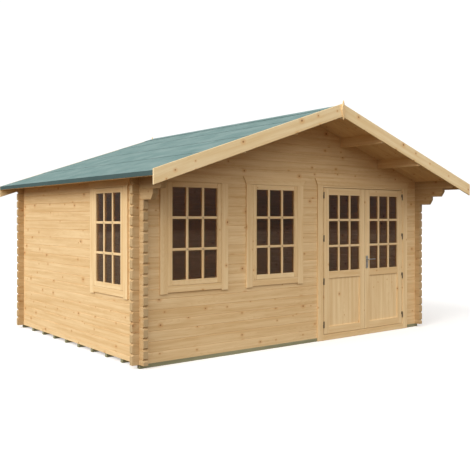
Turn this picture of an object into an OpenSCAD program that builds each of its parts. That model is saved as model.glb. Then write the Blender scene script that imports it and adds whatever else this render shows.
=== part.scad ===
// Log cabin of interlocking boards with a double door, three windows and a low gable roof
// that reaches forward over the front wall. Millimetres, +Z up. The origin is on the ground
// at the middle of the whole outline, +X runs to the right as one faces the door and +Y
// runs from the front to the back.

/* [Walls] */
// Width over the outer faces of the side walls
wall_w = 4730; // [4300:10:6000]
// Depth over the outer faces of the front and back walls
wall_d = 3480; // [2600:10:5000]
// Height of one log from joint to joint
log_h = 114; // [100:1:140]
// Thickness of the logs
log_t = 58; // [44:1:90]
// Length of the log ends beyond the wall that they cross
log_end = 86; // [60:1:150]
// Depth of the V groove along each joint
groove = 5; // [2:1:8]
// Bevel on the upper and lower edge of each log end
end_bevel = 18; // [8:1:25]

/* [Corbels] */
// Reach of the lowest stepped log under the front overhang
corbel_reach = 280; // [200:5:400]
// How much further each log above it reaches
corbel_step = 200; // [100:5:210]
// Length of the bevel under the end of each stepped log
corbel_bevel = 45; // [20:1:70]
// Height of that bevel
corbel_rise = 68; // [20:1:75]
// Reach of the top log behind the back wall
rear_corbel = 205; // [150:5:400]

/* [Roof] */
// Pitch of the roof in degrees
roof_pitch = 18.8; // [12:0.1:28]
// Length of the roof boards in front of the front wall
front_overhang = 704; // [690:1:1200]
// Length of the roof boards behind the back wall
rear_overhang = 231; // [210:1:600]
// Width of the eaves beyond the side walls
eave_overhang = 255; // [150:1:500]
// Thickness of the roof boards
board_t = 28; // [16:1:40]
// Thickness of the felt and its laps
felt_t = 6; // [3:1:10]
// Clearance between the roof boards and what carries them
roof_seat = 0.2; // [0.1:0.1:0.5]
// Width of the purlins
purlin_w = 58; // [40:1:90]
// Spacing of the purlins from the ridge outwards
purlin_step = 746; // [500:1:760]
// Depth of the purlins below the roof boards
purlin_h = 128; // [90:1:180]
// Width of the batten under the eave end of the roof boards
batten_w = 40; // [25:1:60]
// Depth of that batten
batten_h = 18; // [12:1:40]
// Width of the bargeboards
barge_h = 150; // [100:1:220]
// Thickness of the bargeboards
barge_t = 20; // [16:1:30]
// Height of the front bargeboards above the felt
barge_rise = 15; // [5:1:30]
// Height of the rear bargeboards above the felt
rear_rise = 0; // [0:1:30]
// Width of the diamond at the gable top
finial_w = 64; // [40:1:120]
// Height of that diamond
finial_h = 234; // [180:1:320]
// Thickness of that diamond
finial_t = 18; // [12:1:30]

/* [Floor] */
// Height of the bearers under the walls
bearer_h = 45; // [35:1:90]
// Width of the bearers
bearer_w = 49; // [40:1:150]
// Number of bearers
bearers = 10; // [6:1:14]
// How far the bearers' ends lie inside the side walls' faces
bearer_inset = 0; // [0:1:80]
// Thickness of the floor boards
floor_t = 26; // [18:1:30]
// Gap between the floor boards and the walls
floor_gap = 6; // [2:1:15]

/* [Windows] */
// Width of the window openings in the log walls
window_w = 765; // [500:1:800]
// Height of the window openings
window_h = 1185; // [600:1:1300]
// How far the front windows' heads lie below the doorway's head
window_drop = 11; // [0:1:60]
// How far the left front window stands nearer to the corner than an even spacing
window_shift = 14; // [0:1:40]
// Distance of the side window's middle from the front wall's outer face
side_window_y = 703; // [600:1:1600]
// Thickness of the window and door frames
frame_t = 28; // [20:1:40]
// Width of the lip that a sash or a leaf closes against
stop_w = 10; // [6:1:16]
// How deep each sash is let into its frame
sash_rebate = 14; // [4:1:16]
// How far the sashes stand in front of the log face
sash_proud = 20; // [12:1:20]
// Gap around each sash
sash_gap = 2; // [1:0.5:4]
// Width of the sash members
sash_rail = 59; // [35:1:70]
// Thickness of the sashes
sash_t = 40; // [30:1:45]
// Width of the glazing bars
bar_w = 30; // [15:1:45]
// How far the glazing bars lie behind the faces of their sash or leaf
bar_set = 4; // [2:1:8]
// Thickness of the glass
glass_t = 4; // [3:1:6]
// How deep the glass and the panels sit in their grooves
glass_lap = 8; // [4:1:12]

/* [Trim] */
// Width of the boards around the windows and the door
trim_w = 95; // [60:1:120]
// Thickness of these boards
trim_t = 20; // [14:1:28]
// Gap between the window trim and the sash
trim_gap = 2; // [1:0.5:4]
// Height of the head boards
head_h = 93; // [60:1:130]
// How far a head board's upper corners splay beyond the side boards
head_splay = 46; // [0:1:80]
// Height of the board under a window
sill_trim_h = 73; // [50:1:110]
// How far the side boards run below it
stile_drop = 16; // [0:1:40]
// Gap between the door's lower boards and the ground
trim_ground = 3; // [2:1:20]

/* [Door] */
// Clear width between the door jambs
door_w = 1611; // [1300:1:1700]
// Height of the leaves
leaf_h = 1932; // [1800:1:2100]
// Thickness of the leaves
leaf_t = 42; // [36:1:45]
// How far each meeting edge slopes back over the leaf's thickness
meeting_slope = 3; // [2:0.5:5]
// How far the leaves stand in front of the log face
leaf_proud = 12; // [6:1:16]
// Gap around and between the leaves
door_gap = 6; // [5.5:0.5:9]
// Height of the threshold above the bottom of the logs
threshold_h = 32; // [28:1:50]
// Width of the leaves' upright members
leaf_stile = 98; // [90:1:130]
// Height of the leaves' top rail
top_rail = 92; // [80:1:130]
// Height of the leaves' middle rail
mid_rail = 92; // [80:1:130]
// Height of the leaves' bottom rail
low_rail = 95; // [80:1:200]
// Height of the panel in each leaf
panel_h = 640; // [400:1:800]
// Thickness of that panel
panel_t = 16; // [10:1:20]
// How far the jamb faces stand clear of the door trim
jamb_reveal = 11; // [6:1:20]
// Height of the jamb head that shows under the door's head board
head_reveal = 24; // [6:1:27]

/* [Hinges and lock] */
// Number of hinges on each leaf
hinges = 4; // [3:1:5]
// Length of a hinge barrel
hinge_l = 84; // [60:1:120]
// Radius of a hinge barrel
hinge_r = 7.5; // [6:0.5:9]
// Radius of a hinge pin
pin_r = 3.5; // [3:0.5:4]
// Radial clearance of the pins and of the lever's spindle
pin_clear = 0.5; // [0.3:0.1:0.8]
// Height of the lowest hinge's middle above the leaf's lower edge
hinge_low = 127; // [80:1:200]
// Distance of the highest hinge's middle below the leaf's upper edge
hinge_high = 97; // [80:1:200]
// Height of the lever above the leaf's lower edge
lever_z = 962; // [850:1:1100]
// Distance of the lever's spindle from the leaf's edge
lever_x = 34; // [30:1:50]
// Length of the lever's grip
lever_l = 122; // [90:1:140]
// Radius of the lever's grip
lever_r = 8; // [6:0.5:10]
// How far the grip stands off the leaf
lever_reach = 46; // [40:1:60]
// Height of the lock plates
plate_h = 172; // [120:1:240]
// Width of the lock plates
plate_w = 40; // [36:1:50]
// Thickness of the lock plates
plate_t = 4; // [2:0.5:6]
// How far the lock plates reach below the lever
plate_drop = 124; // [80:1:160]

/* [Hidden] */

$fn = 48;
over = 20;                                  // how far a cutting shape runs past a face
roof_slope = tan(roof_pitch);
half_w = wall_w / 2;

// Heights above the bottom of the logs
leaf_z = threshold_h + door_gap;
jamb_top = leaf_z + leaf_h + door_gap;
door_top = jamb_top + frame_t;
min_lintel = 40;                            // least height of log left over the doorway
wall_logs = ceil((door_top + min_lintel) / log_h);
front_top = wall_logs * log_h;
side_top = (wall_logs + 0.5) * log_h;
window_top = door_top - window_drop;
side_window_top = window_top - log_h / 2;

// Sash and trim, from the log face inwards and from the opening's edge
sash_y = -sash_proud;
window_glass_y = sash_y + (sash_t - glass_t) / 2;
sash_inset = frame_t - sash_rebate + sash_gap;
pane_inset = sash_inset + sash_rail;
trim_lap = sash_inset - trim_gap;

// The door and the middle window stand with equal gaps between the trims
window_trim_w = window_w - 2 * trim_lap + 2 * trim_w;
door_trim_w = door_w + 2 * jamb_reveal + 2 * trim_w;
front_gap = (wall_w - 2 * window_trim_w - door_trim_w) / 4;
window_x = [for (i = [0, 1])
    -half_w + (i + 1) * front_gap + (i + 0.5) * window_trim_w - (1 - i) * window_shift];
door_x = half_w - front_gap - door_trim_w / 2;
opening_w = door_w + 2 * frame_t;

leaf_w = (door_w - 3 * door_gap) / 2;

// Panel and glass in a leaf, from its lower edge and its outer face
panel_low = low_rail;
glass_low = low_rail + panel_h + mid_rail;
glass_high = leaf_h - top_rail;
leaf_glass_y = (leaf_t - glass_t) / 2;
panel_y = (leaf_t - panel_t) / 2;

hinge_x = door_gap / 2;                     // from the leaf's edge out to the hinge line
hinge_split = 1;                            // gap between the two halves of a barrel
wing_t = 3;                                 // thickness of the wings on jamb and leaf
wing_w = 16;                                // width of the wing on the leaf
jamb_wing_w = hinge_x + jamb_reveal - 1;    // width of the wing on the jamb
hinge_face = hinge_r + 0.5;                 // from the hinge line to the faces it is fixed to
spindle_r = 5;                              // radius of the lever's spindle

// The roof, measured upright: underside of the boards, then board, felt and bargeboard
upright = 1 / cos(roof_pitch);
board_v = board_t * upright;
felt_v = felt_t * upright;
barge_v = barge_h * upright;
felt_up = board_v + felt_v;
eave_x = half_w + eave_overhang;
board_x = eave_x - felt_t;
ridge_z = under_z(0);
front_reach = front_overhang + barge_t + finial_t;
rear_reach = rear_overhang + barge_t + finial_t;
front_y = (front_reach - wall_d - rear_reach) / 2;

timber = [0.88, 0.76, 0.56];
shaded_timber = [0.66, 0.53, 0.36];
treated_timber = [0.52, 0.52, 0.42];
felt_green = [0.50, 0.62, 0.62];
window_glass = [0.20, 0.14, 0.10];
dark_steel = [0.30, 0.24, 0.18];
bright_steel = [0.72, 0.73, 0.74];

// Height of the roof boards' underside at a distance x from the ridge line
function under_z(x) = side_top + (half_w - log_t - abs(x)) * roof_slope;

// Height of what carries the boards there
function seat_z(x) = under_z(x) - roof_seat;

// Joint heights: the front and back walls start on a whole log, the side walls on half a log
function front_joints(top) = [for (z = [log_h : log_h : top - groove]) z];
function side_joints() = [for (z = [log_h / 2 : log_h : side_top - log_h / 2]) z];

// Outline of a stack of logs with a V groove at each joint: across the wall, then up
function stack_outline(low, high, joints) = concat(
    [[0, low]],
    [for (z = joints) each [[0, z - groove], [groove, z], [0, z + groove]]],
    [[0, high], [log_t, high]],
    [for (i = [len(joints) - 1 : -1 : 0]) let (z = joints[i])
        each [[log_t, z + groove], [log_t - groove, z], [log_t, z - groove]]],
    [[log_t, low]]
);

// Everything is drawn with y from the front wall's face and z from the bottom of the logs
module place() { translate([0, front_y, bearer_h]) children(); }

// Extrudes an outline given as y and z along x, or as x and z along y
module along_x(x0, x1) {
    translate([x0, 0, 0]) rotate([90, 0, 90]) linear_extrude(x1 - x0) children();
}
module along_y(y0, y1) {
    translate([0, y1, 0]) rotate([90, 0, 0]) linear_extrude(y1 - y0) children();
}

// V cuts across the end faces of a stack of logs, at the origin and facing -x
module end_cuts(joints) {
    for (z = joints)
        translate([0, -over, z]) rotate([-90, 0, 0]) linear_extrude(log_t + 2 * over)
            polygon([[-end_bevel, 0], [0, end_bevel], [end_bevel, 0], [0, -end_bevel]]);
}

// ---- Floor ----
// Bearers from the front wall's face to the rear log ends
module floor_bearers() {
    pitch = (wall_d - bearer_w) / (bearers - 1);
    color(treated_timber) place() for (i = [0 : bearers - 1])
        translate([-half_w + bearer_inset, i * pitch, -bearer_h])
            cube([wall_w - 2 * bearer_inset, bearer_w, bearer_h]);
}

module floor_boards() {
    inset = log_t + floor_gap;
    color(timber) place() translate([-half_w + inset, inset, 0])
        cube([wall_w - 2 * inset, wall_d - 2 * inset, floor_t]);
}

// ---- Front and back walls ----
// The part of a cross wall between x0 and x1, with its log ends where it reaches a corner
module cross_wall(x0, x1) {
    joints = front_joints(front_top);
    difference() {
        along_x(x0, x1) polygon(stack_outline(0, front_top, joints));
        for (side = [-1, 1]) {
            reach = side * (half_w + log_end);
            if (x0 <= reach && reach <= x1) {
                translate([reach, 0, 0]) end_cuts(concat(joints, [front_top]));
                for (i = [0 : wall_logs]) {
                    low = (i - 0.25) * log_h;
                    translate([side * half_w - (side > 0 ? log_t : 0), -over, low])
                        cube([log_t, log_t + 2 * over, log_h / 2]);
                }
            }
        }
    }
}

// The triangle of logs over a cross wall, notched for the purlins
module gable() {
    inner = half_w - log_t;
    joints = [for (z = [front_top + log_h : log_h : ridge_z - 2 * groove]) z];
    difference() {
        intersection() {
            along_x(-inner, inner) polygon(stack_outline(front_top, ridge_z, joints));
            along_y(-over, log_t + over) polygon([
                [-inner, front_top], [inner, front_top],
                [inner, seat_z(inner)], [0, seat_z(0)], [-inner, seat_z(inner)]
            ]);
        }
        purlin_set(-over, log_t + over, over);
    }
}

module window_holes() {
    for (x = window_x)
        translate([x - window_w / 2, -over, window_top - window_h])
            cube([window_w, log_t + 2 * over, window_h]);
}

module front_wall_left() {
    color(timber) place() difference() {
        cross_wall(-half_w - log_end, door_x - opening_w / 2);
        window_holes();
    }
}

module front_wall_right() {
    color(timber) place() cross_wall(door_x + opening_w / 2, half_w + log_end);
}

module front_wall_over_door() {
    joints = [for (z = front_joints(front_top)) if (z > door_top + groove) z];
    color(timber) place()
        along_x(door_x - opening_w / 2, door_x + opening_w / 2)
            polygon(stack_outline(door_top, front_top, joints));
}

module front_gable() { color(shaded_timber) place() gable(); }

module back_wall() {
    color(timber) place() translate([0, wall_d - log_t, 0])
        cross_wall(-half_w - log_end, half_w + log_end);
}

module back_gable() { color(timber) place() translate([0, wall_d - log_t, 0]) gable(); }

// ---- Side walls ----
// Outline of a side wall's length and height: V cuts between the plain log ends, then the
// stepped logs under the front overhang and one under the rear overhang
function side_outline() = let (
    joints = side_joints(),
    plain_top = side_top - 3 * log_h,
    rear_y = wall_d + log_end,
    rear_top = side_top - log_h,
    rear = [for (z = joints) if (z < rear_top - 1) z]
) concat(
    [[-log_end, 0]],
    [for (z = joints) if (z < plain_top - 1)
        each [[-log_end, z - end_bevel], [end_bevel - log_end, z], [-log_end, z + end_bevel]]],
    [[-log_end, plain_top]],
    [for (i = [0 : 2]) let (low = plain_top + i * log_h, reach = corbel_reach + i * corbel_step)
        each [[corbel_bevel - reach, low], [-reach, low + corbel_rise], [-reach, low + log_h]]],
    [[wall_d + rear_corbel, side_top], [wall_d + rear_corbel, rear_top + corbel_rise],
     [wall_d + rear_corbel - corbel_bevel, rear_top], [rear_y, rear_top]],
    [for (i = [len(rear) - 1 : -1 : 0]) let (z = rear[i])
        each [[rear_y, z + end_bevel], [rear_y - end_bevel, z], [rear_y, z - end_bevel]]],
    [[rear_y, 0]]
);

// A side wall, its outer face at x = 0 and its inner face at x = log_t
module side_wall() {
    y0 = -2 * front_reach;
    y1 = wall_d + 2 * rear_reach;
    difference() {
        intersection() {
            along_y(y0, y1) polygon(stack_outline(0, side_top, side_joints()));
            along_x(-over, log_t + over) polygon(side_outline());
        }
        // the notches that the front and back logs pass through
        for (y = [0, wall_d - log_t], i = [0 : wall_logs - 1])
            translate([-over, y, (i + 0.25) * log_h]) cube([log_t + 2 * over, log_t, log_h / 2]);
        // the top edge follows the roof
        along_y(y0, y1) polygon([
            [log_t + over, seat_z(half_w - log_t - over)], [log_t + over, side_top + over],
            [-over, side_top + over], [-over, seat_z(half_w + over)]
        ]);
    }
}

module left_wall() {
    color(timber) place() difference() {
        translate([-half_w, 0, 0]) side_wall();
        translate([-half_w - over, side_window_y - window_w / 2, side_window_top - window_h])
            cube([log_t + 2 * over, window_w, window_h]);
    }
}

module right_wall() { color(timber) place() translate([half_w, 0, 0]) mirror([1, 0, 0]) side_wall(); }

// ---- Roof ----
// Purlins: their tops lie along the underside of the roof boards, or rise above it where
// they are cut out of a wall
module purlin_set(y0, y1, rise = 0) {
    half = purlin_w / 2;
    along_y(y0, y1) {
        polygon([[-half, ridge_z - purlin_h], [half, ridge_z - purlin_h],
                 [half, seat_z(half) + rise], [0, seat_z(0) + rise],
                 [-half, seat_z(half) + rise]]);
        for (side = [-1, 1], i = [1, 2]) {
            inner = i * purlin_step - half;
            low = under_z(inner) - purlin_h;
            polygon([[side * inner, low], [side * (inner + purlin_w), low],
                     [side * (inner + purlin_w), seat_z(inner + purlin_w) + rise],
                     [side * inner, seat_z(inner) + rise]]);
        }
    }
}

module purlins() {
    color(shaded_timber) place() purlin_set(-front_overhang, wall_d + rear_overhang);
}

// A flat layer on one slope, from the ridge to x, between two heights above the underside
module roof_layer(side, x, low, high, y0, y1) {
    along_y(y0, y1) polygon([
        [0, ridge_z + low], [side * x, under_z(x) + low],
        [side * x, under_z(x) + high], [0, ridge_z + high]
    ]);
}

module roof_boards(side) {
    color(shaded_timber) place()
        roof_layer(side, board_x, 0, board_v, -front_overhang, wall_d + rear_overhang);
}
module roof_boards_left() { roof_boards(-1); }
module roof_boards_right() { roof_boards(1); }

module eave_battens() {
    color(timber) place() for (side = [-1, 1])
        along_y(-front_overhang, wall_d + rear_overhang) polygon([
            [side * board_x, seat_z(board_x)],
            [side * board_x, under_z(board_x) - batten_h],
            [side * (board_x - batten_w), under_z(board_x) - batten_h],
            [side * (board_x - batten_w), seat_z(board_x - batten_w)]
        ]);
}

// Felt on one slope, turned down over the eave end of the boards and the batten
module roof_felt(side) {
    low = under_z(board_x) - batten_h;
    color(felt_green) place() along_y(-front_overhang, wall_d + rear_overhang) polygon([
        [0, ridge_z + board_v], [side * board_x, under_z(board_x) + board_v],
        [side * board_x, low], [side * eave_x, low],
        [side * eave_x, under_z(eave_x) + board_v + felt_v], [0, ridge_z + board_v + felt_v]
    ]);
}
module roof_felt_left() { roof_felt(-1); }
module roof_felt_right() { roof_felt(1); }

// A front and a rear board on one slope
module bargeboards(side) {
    color(timber) place()
        for (end = [[-front_overhang - barge_t, barge_rise], [wall_d + rear_overhang, rear_rise]])
            let (y = end[0], top = felt_up + end[1] * upright)
                roof_layer(side, eave_x, top - barge_v, top, y, y + barge_t);
}
module bargeboards_left() { bargeboards(-1); }
module bargeboards_right() { bargeboards(1); }

// A diamond over the joint of each pair of bargeboards
module finials() {
    color(timber) place()
        for (end = [[-front_overhang - barge_t - finial_t, barge_rise],
                    [wall_d + rear_overhang + barge_t, rear_rise]])
            let (y = end[0], middle = ridge_z + felt_up + end[1] * upright - barge_v / 2)
                along_y(y, y + finial_t) polygon([
                    [-finial_w / 2, middle], [0, middle - finial_h / 2],
                    [finial_w / 2, middle], [0, middle + finial_h / 2]
                ]);
}

// ---- Windows ----
// Drawn with x along the wall from the window's middle, y into the wall and z from the
// bottom of the opening
module at_window(i) {
    if (i < 2)
        place() translate([window_x[i], 0, window_top - window_h]) children();
    else
        place() translate([-half_w, side_window_y, side_window_top - window_h])
            rotate([0, 0, -90]) children();
}

// A box from x0, y0, z0 to x1, y1, z1
module block(low, high) { translate(low) cube(high - low); }

// A box of the given width and height, shrunk by inset on all four sides
module pane_box(w, h, inset, y0, y1) {
    block([-w / 2 + inset, y0, inset], [w / 2 - inset, y1, h - inset]);
}

module window_frame(i) {
    color(timber) at_window(i) difference() {
        pane_box(window_w, window_h, 0, 0, log_t);
        pane_box(window_w, window_h, frame_t - sash_rebate, -over, sash_y + sash_t);
        pane_box(window_w, window_h, frame_t + stop_w, -over, log_t + over);
    }
}

// Bars that divide an opening from x0 to x1 and z0 to z1 into three by three panes
module glazing_bars(x0, x1, z0, z1, y0, y1) {
    for (i = [1, 2]) {
        x = x0 + (x1 - x0 - 2 * bar_w) / 3 * i + bar_w * (i - 1);
        z = z0 + (z1 - z0 - 2 * bar_w) / 3 * i + bar_w * (i - 1);
        block([x, y0, z0], [x + bar_w, y1, z1]);
        block([x0, y0, z], [x1, y1, z + bar_w]);
    }
}

module window_sash(i) {
    color(timber) at_window(i) {
        difference() {
            pane_box(window_w, window_h, sash_inset, sash_y, sash_y + sash_t);
            pane_box(window_w, window_h, pane_inset, -over, log_t + over);
            pane_box(window_w, window_h, pane_inset - glass_lap,
                window_glass_y, window_glass_y + glass_t);
        }
        for (y = [[sash_y + bar_set, window_glass_y],
                  [window_glass_y + glass_t, sash_y + sash_t - bar_set]])
            glazing_bars(-window_w / 2 + pane_inset, window_w / 2 - pane_inset,
                pane_inset, window_h - pane_inset, y[0], y[1]);
    }
}

module window_pane(i) {
    color(window_glass) at_window(i)
        pane_box(window_w, window_h, pane_inset - glass_lap,
            window_glass_y, window_glass_y + glass_t);
}

// Side boards, a head board with splayed ends and a lower board round an opening whose inner
// edges are at +-half and whose side boards run from low to high
module trim_boards(half, low, high, sill_low, sill_high) {
    outer = half + trim_w;
    for (side = [-1, 1]) {
        x = side > 0 ? half : -outer;
        block([x, -trim_t, low], [x + trim_w, 0, high]);
    }
    along_y(-trim_t, 0) polygon([
        [-outer, high], [outer, high],
        [outer + head_splay, high + head_h], [-outer - head_splay, high + head_h]
    ]);
    block([-half, -trim_t, sill_low], [half, 0, sill_high]);
}

module window_trim(i) {
    color(timber) at_window(i)
        trim_boards(window_w / 2 - trim_lap, trim_lap - sill_trim_h - stile_drop,
            window_h - trim_lap, trim_lap - sill_trim_h, trim_lap);
}

module left_front_window_frame() { window_frame(0); }
module left_front_window_sash() { window_sash(0); }
module left_front_window_glass() { window_pane(0); }
module left_front_window_trim() { window_trim(0); }
module middle_window_frame() { window_frame(1); }
module middle_window_sash() { window_sash(1); }
module middle_window_glass() { window_pane(1); }
module middle_window_trim() { window_trim(1); }
module side_window_frame() { window_frame(2); }
module side_window_sash() { window_sash(2); }
module side_window_glass() { window_pane(2); }
module side_window_trim() { window_trim(2); }

// ---- Door ----
module at_door() { place() translate([door_x, 0, 0]) children(); }

module door_frame() {
    half = door_w / 2;
    stop_y = -leaf_proud + leaf_t + door_gap;
    proud_half = half + jamb_reveal;
    lip = stop_w + door_gap;
    color(timber) at_door() difference() {
        union() {
            block([-half - frame_t, 0, 0], [half + frame_t, log_t, door_top]);
            // the jambs' front edges stand level with the leaves, inside the trim
            block([-proud_half, -leaf_proud, threshold_h],
                  [proud_half, 0, jamb_top + head_reveal]);
        }
        block([-half, -leaf_proud - over, threshold_h], [half, stop_y, jamb_top]);
        block([lip - half, -over, threshold_h], [half - lip, log_t + over, jamb_top - lip]);
    }
}

module door_trim() {
    color(timber) at_door()
        trim_boards(door_w / 2 + jamb_reveal, trim_ground - bearer_h, jamb_top + head_reveal,
            trim_ground - bearer_h, threshold_h);
}

// A leaf drawn with x from its outer edge towards the other leaf, y from its outer face
// and z from its lower edge
module at_leaf(side) {
    at_door() translate([side * (door_w / 2 - door_gap), -leaf_proud, leaf_z])
        mirror([side > 0 ? 1 : 0, 0, 0]) children();
}

module leaf(side) {
    color(timber) at_leaf(side) difference() {
        union() {
            difference() {
                linear_extrude(leaf_h) polygon([
                    [0, 0], [leaf_w, 0], [leaf_w - meeting_slope, leaf_t], [0, leaf_t]]);
                block([leaf_stile, -over, panel_low],
                      [leaf_w - leaf_stile, leaf_t + over, panel_low + panel_h]);
                block([leaf_stile, -over, glass_low],
                      [leaf_w - leaf_stile, leaf_t + over, glass_high]);
                leaf_fill(panel_low, panel_low + panel_h, panel_y, panel_t);
                leaf_fill(glass_low, glass_high, leaf_glass_y, glass_t);
            }
            for (y = [[bar_set, leaf_glass_y], [leaf_glass_y + glass_t, leaf_t - bar_set]])
                glazing_bars(leaf_stile, leaf_w - leaf_stile, glass_low, glass_high,
                    y[0], y[1]);
        }
        // bore for the lever's spindle
        if (side > 0)
            translate([leaf_w - lever_x, -over, lever_z]) rotate([-90, 0, 0])
                cylinder(r = spindle_r + pin_clear, h = leaf_t + 2 * over);
    }
}

// The sheet that sits in the grooves of a leaf
module leaf_fill(low, high, y, t) {
    edge = leaf_stile - glass_lap;
    block([edge, y, low - glass_lap], [leaf_w - edge, y + t, high + glass_lap]);
}

// The panel has a raised field on both faces
module leaf_panel(side) {
    color(timber) at_leaf(side)
        leaf_fill(panel_low, panel_low + panel_h, panel_y, panel_t);
}

module leaf_glass(side) {
    color(window_glass) at_leaf(side)
        leaf_fill(glass_low, glass_high, leaf_glass_y, glass_t);
}

module left_leaf() { leaf(-1); }
module right_leaf() { leaf(1); }
module left_leaf_panel() { leaf_panel(-1); }
module right_leaf_panel() { leaf_panel(1); }
module left_leaf_glass() { leaf_glass(-1); }
module right_leaf_glass() { leaf_glass(1); }

// ---- Hinges ----
// Drawn round the hinge line, with z from the leaf's lower edge
module at_hinges(side) {
    for (i = [0 : hinges - 1])
        at_leaf(side) translate([-hinge_x, -hinge_face,
            hinge_low + i * (leaf_h - hinge_low - hinge_high) / (hinges - 1)]) children();
}

// Lower half of each barrel, with the pin and a wing on the jamb
module frame_hinges() {
    low = hinge_l / 2;
    color(dark_steel) for (side = [-1, 1]) at_hinges(side) {
        translate([0, 0, -low]) cylinder(r = hinge_r, h = low - hinge_split / 2);
        translate([0, 0, -low]) cylinder(r = pin_r, h = 2 * low - 4);
        block([-jamb_wing_w, hinge_face - wing_t, -low], [0, hinge_face, -hinge_split / 2]);
    }
}

// Upper half of each barrel, bored for the pin, with a wing on the leaf
module leaf_hinges(side) {
    high = hinge_l / 2;
    color(dark_steel) at_hinges(side) difference() {
        union() {
            translate([0, 0, hinge_split / 2])
                cylinder(r = hinge_r, h = high - hinge_split / 2);
            block([0, hinge_face - wing_t, hinge_split / 2], [wing_w, hinge_face, high]);
        }
        cylinder(r = pin_r + pin_clear, h = high - 3);
    }
}
module left_leaf_hinges() { leaf_hinges(-1); }
module right_leaf_hinges() { leaf_hinges(1); }

// ---- Lock and lever ----
// Drawn round the spindle, with y from the leaf's outer face and x towards the other leaf
module at_lever() { at_leaf(1) translate([leaf_w - lever_x, 0, lever_z]) children(); }

module lock_plates() {
    color(bright_steel) at_lever() for (y = [-plate_t, leaf_t]) difference() {
        block([-plate_w / 2, y, -plate_drop], [plate_w / 2, y + plate_t, plate_h - plate_drop]);
        translate([0, y - over, 0]) rotate([-90, 0, 0])
            cylinder(r = lever_r + pin_clear, h = plate_t + 2 * over);
    }
}

// A lever on each face of the leaf, on one spindle
module lever_handle() {
    color(bright_steel) at_lever() {
        translate([0, -pin_clear - 1, 0]) rotate([-90, 0, 0])
            cylinder(r = spindle_r, h = leaf_t + 2 * pin_clear + 2);
        for (y = [-lever_reach, leaf_t + pin_clear])
            translate([0, y, 0]) rotate([-90, 0, 0])
                cylinder(r = lever_r, h = lever_reach - pin_clear);
        for (y = [-lever_reach, leaf_t + lever_reach]) {
            for (x = [-lever_l, 0]) translate([x, y, 0]) sphere(r = lever_r);
            translate([-lever_l, y, 0]) rotate([0, 90, 0]) cylinder(r = lever_r, h = lever_l);
        }
    }
}

floor_bearers();
floor_boards();
left_wall();
right_wall();
back_wall();
back_gable();
front_wall_left();
front_wall_right();
front_wall_over_door();
front_gable();
purlins();
eave_battens();
roof_boards_left();
roof_boards_right();
roof_felt_left();
roof_felt_right();
bargeboards_left();
bargeboards_right();
finials();
left_front_window_frame();
left_front_window_sash();
left_front_window_glass();
left_front_window_trim();
middle_window_frame();
middle_window_sash();
middle_window_glass();
middle_window_trim();
side_window_frame();
side_window_sash();
side_window_glass();
side_window_trim();
door_frame();
door_trim();
frame_hinges();
left_leaf();
left_leaf_panel();
left_leaf_glass();
left_leaf_hinges();
right_leaf();
right_leaf_panel();
right_leaf_glass();
right_leaf_hinges();
lock_plates();
lever_handle();
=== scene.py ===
"""Log cabin: joinery, roof covering, finishes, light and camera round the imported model."""

import math

import bpy
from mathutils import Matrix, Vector


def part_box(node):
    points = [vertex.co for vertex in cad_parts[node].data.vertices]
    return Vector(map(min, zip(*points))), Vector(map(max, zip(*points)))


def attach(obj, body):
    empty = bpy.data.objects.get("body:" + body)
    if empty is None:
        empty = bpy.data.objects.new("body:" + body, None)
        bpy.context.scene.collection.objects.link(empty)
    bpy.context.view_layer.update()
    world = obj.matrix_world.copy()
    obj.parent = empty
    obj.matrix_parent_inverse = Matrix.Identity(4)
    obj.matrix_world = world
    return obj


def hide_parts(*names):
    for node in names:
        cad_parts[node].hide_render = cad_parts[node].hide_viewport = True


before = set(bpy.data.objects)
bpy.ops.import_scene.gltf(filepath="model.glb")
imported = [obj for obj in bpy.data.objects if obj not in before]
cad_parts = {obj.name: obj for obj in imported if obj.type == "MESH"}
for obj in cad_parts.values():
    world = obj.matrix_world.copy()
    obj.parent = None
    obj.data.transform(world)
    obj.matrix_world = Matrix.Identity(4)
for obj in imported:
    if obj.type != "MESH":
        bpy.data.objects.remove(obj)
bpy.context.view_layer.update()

MM = 0.001

# ---- Sizes, in metres ----
log_h = 114 * MM                      # height of one course of logs
log_t = 58 * MM                       # thickness of the logs
wall_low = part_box("left_wall")[0]
ground = wall_low.z                   # underside of the logs, on the bearers
left_face = wall_low.x                # outer face of the left wall
wall_half = -left_face
front_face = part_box("front_wall_left")[0].y
back_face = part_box("back_wall")[1].y

trim_w = 95 * MM
trim_t = 20 * MM
head_h = 93 * MM                      # height of the head boards over windows and door
head_splay = 46 * MM                  # how far their ends spread to the top
sill_h = 73 * MM
sill_drop = 16 * MM                   # the side trims run this far below the sill board
sash_rail = 59 * MM
sash_rebate = 14 * MM                 # how deep the sashes are let into their frames
bar_w = 30 * MM
bar_set = 4 * MM                      # glazing bars lie this far behind the sash's faces
glass_t = 4 * MM
frame_t = 28 * MM
stop_w = 10 * MM
leaf_stile = 98 * MM
leaf_top_rail = 92 * MM
leaf_low_rail = 95 * MM
panel_t = 16 * MM
leaf_lap = 8 * MM                     # how deep glass and panels sit in their grooves
door_gap = 6 * MM
eased = 3 * MM                        # rounding of the edges of planed boards

boards_low, boards_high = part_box("roof_boards_right")
felt_low, felt_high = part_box("roof_felt_right")
barge_top_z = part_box("bargeboards_right")[1].z
roof_pitch = math.radians(18.8)
roof_slope = math.tan(roof_pitch)
upright = math.sqrt(1 + roof_slope ** 2)   # upright depth of a sloping layer per unit thickness
board_v = 28 * MM * upright
felt_v = 6 * MM * upright
barge_v = 150 * MM * upright
barge_t = 20 * MM
ridge_z = boards_high.z - board_v          # underside of the roof boards at the ridge
eave_x = felt_high.x
boards_x = boards_high.x
roof_front, roof_back = boards_low.y, boards_high.y
roof_planks = 48                           # boards on each slope


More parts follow.
